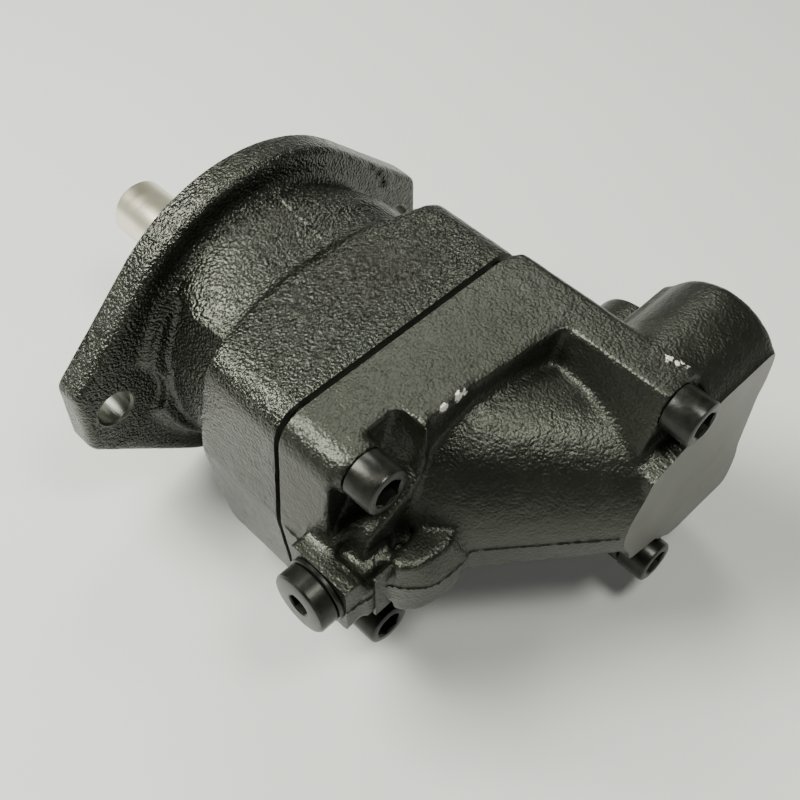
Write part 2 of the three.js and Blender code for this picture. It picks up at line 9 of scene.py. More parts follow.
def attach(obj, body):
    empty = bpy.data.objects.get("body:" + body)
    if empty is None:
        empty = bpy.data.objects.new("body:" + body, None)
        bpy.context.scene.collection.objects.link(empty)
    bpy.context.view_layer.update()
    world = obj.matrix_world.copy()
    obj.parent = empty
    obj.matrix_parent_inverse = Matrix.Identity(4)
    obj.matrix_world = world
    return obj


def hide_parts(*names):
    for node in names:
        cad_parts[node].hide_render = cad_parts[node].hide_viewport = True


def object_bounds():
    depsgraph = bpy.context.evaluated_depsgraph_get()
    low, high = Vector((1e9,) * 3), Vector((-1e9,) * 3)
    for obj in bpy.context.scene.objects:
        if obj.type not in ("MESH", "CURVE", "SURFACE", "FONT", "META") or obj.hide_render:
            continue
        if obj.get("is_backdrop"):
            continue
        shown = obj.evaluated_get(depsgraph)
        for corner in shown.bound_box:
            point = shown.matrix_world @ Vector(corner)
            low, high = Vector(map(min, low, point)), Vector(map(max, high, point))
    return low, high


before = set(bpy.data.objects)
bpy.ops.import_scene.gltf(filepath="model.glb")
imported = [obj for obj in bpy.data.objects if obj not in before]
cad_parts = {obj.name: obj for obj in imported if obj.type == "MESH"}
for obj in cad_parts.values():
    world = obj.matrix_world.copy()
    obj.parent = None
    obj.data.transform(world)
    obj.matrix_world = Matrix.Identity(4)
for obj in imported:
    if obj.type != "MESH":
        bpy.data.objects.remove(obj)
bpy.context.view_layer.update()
ALONG_X = Matrix.Rotation(math.pi / 2, 4, "Y")
BARREL_LINE = Matrix.Translation((105, 0, 0)) @ Matrix.Rotation(math.radians(40), 4, "Z")
FULL_TURN = 2 * math.pi
X_TO_Y = Matrix.Rotation(math.pi / 2, 4, "Z")

# Sizes in millimetres that several shapes share. Holes and ways are given by their radius.
BODY_TOP = 53.2
REAR_X = 182
SCREWS = [(-46, 44.5), (-46, -44.5), (46, 44.5), (46, -44.5)]
SCREW_WAY = 6.3
SHORT_SEAT = 120
LONG_SEAT = 173
SEAT_ROOM = 11
EAR_Y = 73
EAR_HOLE = 7.15
PORT_X = 159.5
PORT_Z = 28.5
PORT_BORE = 12.2
PORT_FACE = 95
DRAIN_PORT_X = 125.5
DRAIN_PORT_BORE = 9.3
DRAIN_X = 122
DRAIN_WAY = 4

# Voxel sizes of a casting's first and last fusing, and how far its skin wanders.
FIRST_GRID = 1.35
SKIN_GRID = 1.1
SKIN_WANDER = 0.3

# The lamps' faint green, and the paint's olive sheen.
LAMP_COLOUR = (0.985, 1.0, 0.92)
OLIVE_SHEEN = (0.97, 1.0, 0.86, 1)


# ---- shader bench ----
class Tap:
    """A shader socket that takes part in sums."""

    def __init__(self, bench, socket):
        self.bench = bench
        self.socket = socket

    def math(self, operation, *terms):
        return self.bench.node("ShaderNodeMath", {"operation": operation}, dict(enumerate(terms)))

    def __add__(self, other):
        return self.math("ADD", self, other)

    __radd__ = __add__

    def __mul__(self, other):
        return self.math("MULTIPLY", self, other)

    __rmul__ = __mul__

    def __sub__(self, other):
        return self.math("SUBTRACT", self, other)

    def __rsub__(self, other):
        return self.math("SUBTRACT", other, self)

    def band(self, low, high):
        """0 below low, 1 above high, an even ramp between."""
        settings = {"clamp": True}
        values = {"Value": self, "From Min": low, "From Max": high}
        return self.bench.node("ShaderNodeMapRange", settings, values)


class Finish:
    """One named surface finish: a material and the bench its nodes are laid out on."""

    def __init__(self, name):
        self.material = bpy.data.materials.new(name)
        self.material.use_nodes = True
        self.tree = self.material.node_tree
        self.tree.nodes.clear()
        self.shader = self.tree.nodes.new("ShaderNodeBsdfPrincipled")
        out = self.tree.nodes.new("ShaderNodeOutputMaterial")
        self.tree.links.new(self.shader.outputs[0], out.inputs[0])
        self.place = self.node("ShaderNodeTexCoord", out="Object")

    def node(self, kind, settings=None, sockets=None, out=0):
        made = self.tree.nodes.new(kind)
        for key, value in (settings or {}).items():
            setattr(made, key, value)
        self.fill(made, sockets or {})
        return Tap(self, made.outputs[out])

    def fill(self, node, sockets):
        for key, value in sockets.items():
            if isinstance(value, Tap):
                self.tree.links.new(value.socket, node.inputs[key])
            else:
                node.inputs[key].default_value = value

    def surface(self, **sockets):
        names = {key.replace("_", " "): value for key, value in sockets.items()}
        self.fill(self.shader, names)

    def stretched(self, scale):
        return self.node("ShaderNodeMapping", None, {"Vector": self.place, "Scale": scale})

    def grain(self, scale, detail=2.0, rough=0.5, where=None):
        values = {"Vector": where or self.place, "Scale": scale, "Detail": detail, "Roughness": rough}
        return self.node("ShaderNodeTexNoise", None, values)

    def domes(self, scale):
        values = {"Vector": self.place, "Scale": scale}
        return self.node("ShaderNodeTexVoronoi", {"feature": "SMOOTH_F1"}, values)

    def away_from(self, spot):
        values = {0: self.place, 1: spot}
        return self.node("ShaderNodeVectorMath", {"operation": "DISTANCE"}, values, 1)

    def blend(self, share, first, second):
        values = {0: share, 6: first, 7: second}
        return self.node("ShaderNodeMix", {"data_type": "RGBA"}, values, 2)

    def relief(self, height, distance, strength):
        values = {"Height": height, "Distance": distance, "Strength": strength}
        return self.node("ShaderNodeBump", None, values)

    def gloss(self, ior, tint):
        self.shader.inputs["IOR"].default_value = ior
        self.shader.inputs["Specular Tint"].default_value = tint


def cast_paint(name, pebble, lump, dull, chips=()):
    """Black paint on sand-cast iron.

    The sand stands out by pebble and the skin waves by lump.
    Chips are spots of bare metal: (place, reach) in metres.
    """
    paint = Finish(name)
    pebbles = paint.grain(900, 2, 0.55)
    domes = paint.domes(1000)
    fine = paint.grain(2300, 1, 0.5)
    lumps = paint.grain(260, 2, 0.5)
    patches = paint.grain(38, 3, 0.6)
    tone = paint.blend(patches.band(0.35, 0.7), (0.0030, 0.0032, 0.0022, 1), (0.0075, 0.0078, 0.0055, 1))
    rough = patches * 0.1 + pebbles * 0.08 + dull
    sand = (pebbles - domes * 0.9 + fine * 0.15) * (patches * 1.4 + 0.3)
    height = sand * pebble + lumps * lump
    bare = None
    for spot, reach in chips:
        chip = (pebbles * 1.6 + 0.2 - paint.away_from(spot) * (1 / reach)).band(0, 0.15)
        bare = chip if bare is None else bare.math("MAXIMUM", bare, chip)
    if bare:
        tone = paint.blend(bare, tone, (0.80, 0.78, 0.72, 1))
        rough = rough + bare * 0.2
        height = height - bare * 0.25
        paint.surface(Metallic=bare)
    paint.surface(Base_Color=tone, Roughness=rough, Normal=paint.relief(height, 0.00095, 1.0))
    paint.gloss(1.52, OLIVE_SHEEN)
    return paint.material


def machined_paint():
    """The same paint where a cutter left the iron flat."""
    paint = Finish("black_paint_on_machined_face")
    patches = paint.grain(60, 3, 0.6)
    marks = paint.grain(240, 2, 0.5, paint.stretched((1, 6, 6)))
    tone = paint.blend(patches.band(0.3, 0.7), (0.010, 0.010, 0.0085, 1), (0.020, 0.020, 0.017, 1))
    paint.surface(
        Base_Color=tone,
        Roughness=patches * 0.15 + 0.3,
        Normal=paint.relief(marks, 0.00012, 0.6),
    )
    paint.gloss(1.95, OLIVE_SHEEN)
    return paint.material


def bored_iron():
    """Bare iron inside a drilled hole, with the drill's rings."""
    iron = Finish("bored_iron")
    rings = iron.grain(420, 2, 0.5)
    tone = iron.blend(rings.band(0.3, 0.7), (0.20, 0.19, 0.17, 1), (0.42, 0.40, 0.36, 1))
    iron.surface(
        Base_Color=tone,
        Roughness=rings * 0.2 + 0.3,
        Normal=iron.relief(rings, 0.00015, 0.7),
    )
    iron.shader.inputs["Metallic"].default_value = 1
    return iron.material


def black_oxide():
    """Blackened steel, satin, with a faint oily mottle."""
    oxide = Finish("black_oxide")
    mottle = oxide.grain(260, 4, 0.6)
    speck = oxide.grain(1500, 2, 0.6)
    tone = oxide.blend(mottle.band(0.35, 0.7), (0.012, 0.012, 0.010, 1), (0.026, 0.026, 0.022, 1))
    oxide.surface(
        Base_Color=tone,
        Roughness=mottle * 0.18 + 0.22,
        Normal=oxide.relief(speck * 0.6 + mottle * 0.4, 0.00006, 0.8),
    )
    oxide.shader.inputs["Metallic"].default_value = 0.55
    return oxide.material


def bright_steel(name, low, high, roughness, ring_scale=(900, 26, 26)):
    """Steel that was turned or ground, with fine marks around its axis."""
    steel = Finish(name)
    marks = steel.grain(1, 3, 0.6, steel.stretched(ring_scale))
    cloud = steel.grain(70, 3, 0.6)
    tone = steel.blend(cloud.band(0.3, 0.75), (*low, 1), (*high, 1))
    steel.surface(
        Base_Color=tone,
        Roughness=marks * 0.14 + cloud * 0.1 + roughness,
        Normal=steel.relief(marks, 0.00004, 0.7),
    )
    steel.shader.inputs["Metallic"].default_value = 1
    return steel.material


def seal_rubber():
    rubber = Finish("seal_rubber")
    bloom = rubber.grain(180, 4, 0.6)
    pores = rubber.grain(1300, 2, 0.6)
    tone = rubber.blend(bloom.band(0.35, 0.75), (0.010, 0.010, 0.010, 1), (0.026, 0.026, 0.025, 1))
    rubber.surface(
        Base_Color=tone,
        Roughness=bloom * 0.2 + 0.5,
        Normal=rubber.relief(pores, 0.00008, 0.6),
    )
    return rubber.material


FINISHES = {
    "front_casting": cast_paint("black_paint_on_front_casting", 0.5, 0.4, 0.12),
    "rear_casting": cast_paint("black_paint_on_rear_casting", 0.24, 0.25, 0.29, [
        ((0.1257, -0.0074, 0.0526), 0.0024), ((0.1257, -0.0050, 0.0526), 0.0018),
        ((0.1258, -0.0141, 0.0526), 0.0022), ((0.1625, 0.0537, 0.0518), 0.0020),
        ((0.1661, 0.0544, 0.0515), 0.0020), ((0.1690, 0.0550, 0.0512), 0.0018),
    ]),
    "face": machined_paint(),
    "bore": bored_iron(),
    "oxide": black_oxide(),
    "shaft": bright_steel("ground_shaft_steel", (0.88, 0.83, 0.64), (0.96, 0.92, 0.74), 0.22),
    "bearing": bright_steel("bearing_steel", (0.50, 0.50, 0.50), (0.68, 0.68, 0.67), 0.12),
    "gear": bright_steel("nitrided_gear_steel", (0.23, 0.23, 0.22), (0.36, 0.35, 0.33), 0.28, (140,) * 3),
    "bronze": bright_steel("lead_bronze", (0.50, 0.28, 0.10), (0.66, 0.40, 0.17), 0.24, (120,) * 3),
    "rubber": seal_rubber(),
}


# ---- shapes, in millimetres ----
def verts_in(parts):
    return [part for part in parts if isinstance(part, bmesh.types.BMVert)]


def moved(bm, matrix):
    bmesh.ops.transform(bm, matrix=matrix, verts=bm.verts)
    return bm


def closed(bm):
    bmesh.ops.remove_doubles(bm, verts=bm.verts, dist=1e-4)
    bmesh.ops.recalc_face_normals(bm, faces=bm.faces)
    return bm


def turned(points, steps=96, ring=False):
    """Spins (distance, radius) points about X.

    A ring's outline is closed, a bar's starts and ends on the axis.
    """
    bm = bmesh.new()
    outline = [bm.verts.new((x, r, 0)) for x, r in points]
    pairs = list(zip(outline, outline[1:]))
    if ring:
        pairs.append((outline[-1], outline[0]))
    edges = [bm.edges.new(pair) for pair in pairs]
    bmesh.ops.spin(
        bm, geom=outline + edges, axis=(1, 0, 0), cent=(0, 0, 0), angle=FULL_TURN, steps=steps,
        use_merge=True,
    )
    return closed(bm)


def rod(x0, x1, radius, segments=48, narrow=None):
    """A round bar along X. Given narrow, it is a cone whose far end has that radius."""
    bm = bmesh.new()
    end = radius if narrow is None else narrow
    bmesh.ops.create_cone(bm, cap_ends=True, segments=segments, radius1=radius, radius2=end, depth=x1 - x0)
    return moved(bm, Matrix.Translation(((x0 + x1) / 2, 0, 0)) @ ALONG_X)


def rod_at(x0, x1, radius, y, z, segments=48, narrow=None):
    return moved(rod(x0, x1, radius, segments, narrow), Matrix.Translation((0, y, z)))


def post(y0, y1, radius, x, z, segments=64, narrow=None):
    """A round bar along Y."""
    bm = rod(y0, y1, radius, segments, narrow)
    return moved(bm, Matrix.Translation((x, 0, z)) @ X_TO_Y)


def slanted(start, end, radius, segments=32):
    """A round bar from one point to another."""
    run = end - start
    turn = run.to_track_quat("X", "Z").to_matrix().to_4x4()
    return moved(rod(0, run.length, radius, segments), Matrix.Translation(start) @ turn)


def block(low, high):
    bm = bmesh.new()
    bmesh.ops.create_cube(bm, size=1)
    size = [b - a for a, b in zip(low, high)]
    middle = [(a + b) / 2 for a, b in zip(low, high)]
    return moved(bm, Matrix.Translation(middle) @ Matrix.Diagonal((*size, 1)))


def slab(outline, start, end, plane="yz"):
    """A flat outline drawn across X (plane yz) or across Z (plane xy), drawn out from start to end."""
    bm = bmesh.new()
    if plane == "yz":
        spots = [(start, a, b) for a, b in outline]
        run = (end - start, 0, 0)
    else:
        spots = [(a, b, start) for a, b in outline]
        run = (0, 0, end - start)
    face = bm.faces.new([bm.verts.new(spot) for spot in spots])
    grown = bmesh.ops.extrude_face_region(bm, geom=[face])
    bmesh.ops.translate(bm, vec=run, verts=verts_in(grown["geom"]))
    return closed(bm)


def eased(bm, width, segments, along=None, least=25):
    """Bevels the sharp edges, or only those that run along one axis."""
    picked = []
    for edge in bm.edges:
        if len(edge.link_faces) != 2 or math.degrees(edge.calc_face_angle(0)) < least:
            continue
        run = (edge.verts[1].co - edge.verts[0].co).normalized()
        if along is None or abs(run["xyz".index(along)]) > 0.999:
            picked.append(edge)
    bmesh.ops.bevel(
        bm, geom=picked, offset=width, segments=segments, affect="EDGES", profile=0.5, material=-1,
    )
    return bm


def gathered(*parts):
    """One mesh of several overlapping closed ones."""
    whole = bmesh.new()
    for part in parts:
        loose = bpy.data.meshes.new("loose")
        part.to_mesh(loose)
        part.free()
        whole.from_mesh(loose)
        bpy.data.meshes.remove(loose)
    return whole


def on_bench(bm):
    mesh = bpy.data.meshes.new("blank")
    bm.to_mesh(mesh)
    bm.free()
    blank = bpy.data.objects.new("blank", mesh)
    bpy.context.scene.collection.objects.link(blank)
    return blank


def off_bench(blank, *tools):
    """The mesh that the blank's modifiers leave; the blank and its tools are cleared away."""
    bpy.context.view_layer.update()
    ready = blank.evaluated_get(bpy.context.evaluated_depsgraph_get())
    bm = bmesh.new()
    bm.from_mesh(ready.to_mesh())
    for used in (blank, *tools):
        bpy.data.objects.remove(used)
    return bm


def worked(bm, *steps):
    """Joins to, cuts from or crops a blank: steps are ("UNION", "DIFFERENCE" or "INTERSECT", tool)."""
    blank = on_bench(bm)
    tools = []
    for operation, tool in steps:
        tools.append(on_bench(tool))
        change = blank.modifiers.new(operation, "BOOLEAN")
        change.operation = operation
        change.object = tools[-1]
        change.solver = "MANIFOLD"
    return off_bench(blank, *tools)


def cut(bm, *tools):
    return worked(bm, *[("DIFFERENCE", tool) for tool in tools])


def cast(bm, grid, rounding, wander):
    """Fuses overlapping shapes into one skin with a foundry's soft edges and a slightly uneven face."""
    blank = on_bench(bm)
    fuse = blank.modifiers.new("fuse", "REMESH")
    fuse.mode = "VOXEL"
    fuse.voxel_size = grid
    soften = blank.modifiers.new("soften", "SMOOTH")
    soften.factor = 0.5
    soften.iterations = rounding
    clouds = bpy.data.textures.new("foundry_skin", "CLOUDS")
    clouds.noise_scale = 5
    clouds.noise_depth = 2
    skin = blank.modifiers.new("skin", "DISPLACE")
    skin.texture = clouds
    skin.strength = wander
    return off_bench(blank)


def finished(name, bm, body, finish, stands_for, crisp=35, others=()):
    """Takes a mesh in millimetres and sets it in the frame as a named piece."""
    bmesh.ops.scale(bm, vec=(0.001, 0.001, 0.001), verts=bm.verts)
    mesh = bpy.data.meshes.new(name)
    bm.to_mesh(mesh)
    bm.free()
    for material in (finish, *others):
        mesh.materials.append(FINISHES[material])
    mesh.shade_smooth()
    mesh.set_sharp_from_angle(angle=math.radians(crisp))
    made = bpy.data.objects.new(name, mesh)
    bpy.context.scene.collection.objects.link(made)
    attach(made, body)
    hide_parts(*stands_for)


# ---- outlines shared by the two castings ----
SIDE_OUTLINE = [
    (-57.4, BODY_TOP), (-61.4, 0), (-56.3, -BODY_TOP), (56.5, -BODY_TOP), (58.9, 0), (57.8, BODY_TOP),
]


def square_body(start, end, corner=10.5, inset=0.0):
    """The squarish section that both castings share, drafted to a ridge half way down its side."""
    shrunk = []
    for y, z in SIDE_OUTLINE:
        shrunk.append((y - math.copysign(inset, y), z - math.copysign(inset, z) * (z != 0)))
    return eased(slab(shrunk, start, end), corner, 6, "x", 30)


def seat_of(y):
    """Where the head of a screw at this height bears on the barrel housing."""
    return SHORT_SEAT if y < 0 else LONG_SEAT


def knocks(spots, seed, low, high):
    """Small dents along an edge, as rough handling leaves them."""
    chance = random.Random(seed)
    dents = []
    for spot in spots:
        bm = bmesh.new()
        bmesh.ops.create_icosphere(bm, subdivisions=2, radius=chance.uniform(low, high))
        shift = [chance.uniform(-0.5, 0.5) for _ in range(3)]
        dents.append(moved(bm, Matrix.Translation(Vector(spot) + Vector(shift))))
    return gathered(*dents)


def flange_plate():
    """A round plate drawn out to two ears, its rear edge eased."""
    bm = bmesh.new()
    for x, shrink in ((-2, 0), (10.2, 0), (12.6, 1.6)):
        middle = Matrix.Translation((x, 0, 0)) @ ALONG_X
        bmesh.ops.create_circle(bm, radius=70.9 - shrink, segments=128, matrix=middle)
        for y in (-81.85, 81.85):
            for z in (-13, 13):
                corner = Matrix.Translation((x, y, z)) @ ALONG_X
                bmesh.ops.create_circle(bm, radius=5 - shrink, segments=32, matrix=corner)
    hull = bmesh.ops.convex_hull(bm, input=bm.verts)
    spare = dict.fromkeys(verts_in(hull["geom_interior"] + hull["geom_unused"]))
    bmesh.ops.delete(bm, geom=list(spare), context="VERTS")
    return closed(bm)


def neck():
    """Round at the flange, squarer where it meets the body."""
    bm = bmesh.new()
    rings = []
    sections = [(4, 2, 57, 57), (14, 2, 57, 57), (17, 2.2, 57.2, 56.6), (24, 2.6, 57.3, 55.3),
                (32, 3.1, 57.4, 53.4), (38, 3.3, 57.3, 51.9), (50, 3.3, 57.0, 51.2)]
    for x, power, half_y, half_z in sections:
        ring = bmesh.ops.create_circle(bm, radius=1, segments=96, matrix=ALONG_X)["verts"]
        for vert in ring:
            y, z = abs(vert.co.y) / half_y, abs(vert.co.z) / half_z
            reach = (y ** power + z ** power) ** (-1 / power)
            vert.co = (x, vert.co.y * reach, vert.co.z * reach)
        rings.append([edge for edge in bm.edges if all(vert in ring for vert in edge.verts)])
    for one, two in zip(rings, rings[1:]):
        bmesh.ops.bridge_loops(bm, edges=one + two)
    bmesh.ops.holes_fill(bm, edges=[edge for edge in bm.edges if edge.is_boundary])
    return closed(bm)


def body_front():
    """Takes the dished front off the square body."""
    points = [(36.7 + 0.0033 * r * r, r) for r in range(44, 92, 4)]
    return turned([*points, (20, points[-1][1]), (20, points[0][1])], 96, ring=True)


def bearing_housing():
    root = turned([(8, 0), (8, 66), (11.8, 65), (12.6, 61), (14.5, 58.8), (17, 57.6), (17, 0)])
    blank = gathered(flange_plate(), root, neck(), cut(square_body(44, 93), body_front()))
    hollow = [(-39.5, 41.2), (-75, 62), (-75, -62), (-39.5, -41.2), (-49, -16), (-50.5, 0), (-49, 16)]
    pockets = [slab(hollow, 17.2, 47.2)]
    pockets += [rod_at(12.2, 44, 20, side * EAR_Y, 0, 64) for side in (-1, 1)]
    rim = []
    for degrees in range(18, 132, 3):
        angle = math.radians(degrees)
        rim.append((13.7, 71.4 * math.cos(angle), 71.4 * math.sin(angle)))
    blank = cast(blank, FIRST_GRID, 1, 0)
    blank = cut(blank, *pockets, cast(knocks(rim, 3, 1.6, 3.0), 0.8, 1, 0))
    blank = cast(blank, SKIN_GRID, 3, SKIN_WANDER)
    parting_flash(blank, 0.7, 4, lambda c: c.z > 44 and 14 < c.x < 43, (0, 10, 0), (0, 1, 0))

    flange_face = block((-30, -120, -120), (0, 120, 120))
    joint_face = block((91, -120, -120), (130, 120, 120))
    pilot = turned([(1, 0), (1, 50.8), (-8.5, 50.8), (-9.7, 49.6), (-9.7, 0)], 128)
    land = square_body(90, 93.2, 7, 4.6)
    bore = turned([
        (-20, 0), (-20, 22), (-0.5, 22), (-0.5, 24.5), (12, 24.5), (12, 31.3), (36, 31.3), (58, 32.5),
        (58, 40.3), (110, 40.3), (110, 0),
    ])
    circlip_groove = turned([(-9.1, 20), (-9.1, 23.3), (-7.5, 23.3), (-7.5, 20)], ring=True)
    seal_groove = turned([(90.8, 43.2), (90.8, 46.6), (96, 46.6), (96, 43.2)], ring=True)
    steps = [("DIFFERENCE", flange_face), ("DIFFERENCE", joint_face), ("UNION", pilot), ("UNION", land)]
    steps += [("DIFFERENCE", tool) for tool in (bore, circlip_groove, seal_groove)]
    for y, z in SCREWS:
        steps.append(("DIFFERENCE", rod_at(64, 110, SCREW_WAY, y, z, 32)))
    for side in (-1, 1):
        steps.append(("DIFFERENCE", rod_at(-5, 20, EAR_HOLE, side * EAR_Y, 0)))
        steps.append(("DIFFERENCE", rod_at(11.4, 14.4, EAR_HOLE, side * EAR_Y, 0, 48, EAR_HOLE + 3)))
    blank = worked(blank, *steps)
    bmesh.ops.dissolve_degenerate(blank, dist=1e-3, edges=blank.edges)
    drilled(blank, lambda c: math.hypot(abs(c.y) - EAR_Y, c.z) < 8.6 and c.x < 13, 2)
    drilled(blank, lambda c: math.hypot(c.y, c.z) < 42 and c.x > -9.6, 1)
    drilled(blank, lambda c: c.x < 0.01 or c.x > 90.9, 2)
    finished(
        "bearing_housing_casting", blank, "casing", "front_casting", ["bearing_housing"],
        others=("bore", "face"),
    )


def drilled(bm, inside, index):
    """Gives a finish to the faces whose middle passes the test."""
    for face in bm.faces:
        if inside(face.calc_center_median()):
            face.material_index = index


def parting_flash(bm, height, seed, keep, place=(0, 0, 0), across=(0, 0, 1)):
    """Raises a ragged line where two parts of the mould met."""
    chance = random.Random(seed)
    everything = bm.verts[:] + bm.edges[:] + bm.faces[:]
    made = bmesh.ops.bisect_plane(bm, geom=everything, plane_co=place, plane_no=across)
    bm.normal_update()
    lift = {vert: vert.normal.copy() for vert in verts_in(made["geom_cut"]) if keep(vert.co)}
    for vert, normal in lift.items():
        vert.co += normal * height * chance.uniform(0.35, 1.0)


def mirrored(points):
    """Closes a half outline with its mirror image below."""
    return [*points, *[(y, -z) for y, z in reversed(points) if z]]


def screw_recess(z):
    """The deep cast hollow around a short screw, open to the corner, with a boss left for the head."""
    side = math.copysign(1, z)
    foot = [
        (119.4, -64, 12), (121.2, -64, 58), (116.8, -48, 58), (115.2, -24.6, 58), (113.2, -45, 27),
        (113.2, -35, 32), (113.2, -29, 40), (113.2, -30, 48), (113.2, -50, 47), (115.5, -54, 18),
    ]
    rim = [
        (-64, 9), (-52, 15.5), (-44.6, 23.6), (-34.8, 28.6), (-27.2, 31.8), (-24.6, 41), (-24.6, 64),
        (-64, 64),
    ]
    mouth = [(150, y, across) for y, across in rim]
    waist = [(122, y, across) for y, across in rim[2:7]]
    bm = bmesh.new()
    for x, y, across in foot + mouth + waist:
        bm.verts.new((x, y, across * side))
    bmesh.ops.convex_hull(bm, input=bm.verts)
    return closed(bm)


def rib_bead(side):
    """The rounded ridge that runs down between a short screw and the bulge."""
    crest = [
        (-26, 53), (-26, 47), (-26.2, 34), (-28.5, 30.5), (-34.3, 28.3), (-44, 23.4), (-50.5, 14.5),
        (-55.9, 5.3),
    ]
    points = [Vector((126.6, y, z * side)) for y, z in crest]
    return gathered(*[slanted(one, two, 1.9, 16) for one, two in zip(points, points[1:])])


def drain_foot():
    """The raised foot beside the drain boss, which runs into the bulge's parting line."""
    layers = {
        12: [
            (135.7, -48.6), (133.1, -36.2), (136.3, -27.9), (142.6, -25.2), (145.6, -30.5), (145.2, -38),
            (143.6, -45.2), (140.2, -49.4),
        ],
        0: [(138.4, -51), (142, -49), (147.4, -43), (149.4, -37.8), (149.2, -25), (135, -38)],
        -21: [(137.6, -50), (140.5, -48), (143.8, -42.8), (146.5, -33), (146, -24), (136, -38)],
    }
    bm = bmesh.new()
    for z, outline in layers.items():
        for x, y in outline:
            bm.verts.new((x, y, z))
    bmesh.ops.convex_hull(bm, input=bm.verts)
    return closed(bm)


def port_boss(side):
    boss = turned([(48, 0), (48, 24.8), (92, 24.8), (94.2, 24.1), (95.4, 22.4), (96, 20.5), (96, 0)])
    return moved(boss, Matrix.Translation((PORT_X, 0, side * PORT_Z)) @ X_TO_Y)


def rear_plate_step():
    """The thicker part of the plate, which ends in the ridge above the short screws."""
    edge = [
        (-24, BODY_TOP), (-24.6, 41), (-27.5, 33.5), (-34.8, 30), (-44.6, 25), (-52, 17), (-57, 7),
        (-57, 0),
    ]
    rear_line = [
        (100, -70), (128.6, -70), (128.6, -30), (125.2, -21), (125.2, 0), (126.0, 5), (127.2, 19),
        (128, 28), (129.3, 37), (131.5, 45), (131.5, 60), (100, 60),
    ]
    across = slab(mirrored([(50, BODY_TOP), *edge]), 104, 140)
    return worked(across, ("INTERSECT", slab(rear_line, -70, 70, "xy")))


def barrel_housing_blank():
    wall_side = [(30, 27), (40.6, BODY_TOP - 0.1), (55.4, BODY_TOP - 0.1), (58.7, BODY_TOP - 3.6)]
    wall = slab(mirrored(wall_side), 95, LONG_SEAT)
    tail = slab(mirrored([(22, 0), (28.7, 25), (46, 30), (62, 40), (93, 40)]), 135, 185)
    bulge = moved(turned([(-12, 0), (-12, 43.6), (6, 44.8), (17, 44.7), (84, 31.7), (84, 0)]), BARREL_LINE)
    plate = eased(square_body(91, 120.5), 1.4, 2, None, 60)
    drain_blocks = [
        block((108.3, -72, -12.5), (135.6, -60.8, 12.5)),
        block((108.3, -66, -11), (133.4, -44, 9)),
        block((129, -61, -13), (136.6, -47, 5)),
    ]
    drain_port = post(50, 97, 17.7, DRAIN_PORT_X, 0, 72)
    return gathered(
        plate, rear_plate_step(), wall, tail, bulge, drain_foot(), port_boss(-1), port_boss(1),
        rib_bead(1), rib_bead(-1), *drain_blocks, drain_port,
    )


def screw_rooms():
    """The hollows that the four heads sit in."""
    rooms = []
    for y, z in SCREWS:
        if y < 0:
            rooms.append(cut(screw_recess(z), rod_at(100, SHORT_SEAT, 9.8, y, z)))
            rooms.append(rod_at(SHORT_SEAT, 200, SEAT_ROOM, y, z))
            continue
        low, high = sorted((z, math.copysign(70, z)))
        rooms.append(rod_at(LONG_SEAT, 200, SEAT_ROOM, y, z))
        rooms.append(block((LONG_SEAT, y - 10, low), (200, y + 10, high)))
    return rooms


def ridge_nicks():
    """Dents along the upper ridge of the plate's thick part."""
    chance = random.Random(5)
    lip = []
    for i in range(26):
        y = -18 + 60 * i / 25
        lip.append((126.2 + max(0, y) * 0.125, y, BODY_TOP + chance.uniform(-0.6, 1.0)))
    return cast(knocks(lip, 8, 0.9, 2.2), 0.7, 1, 0)


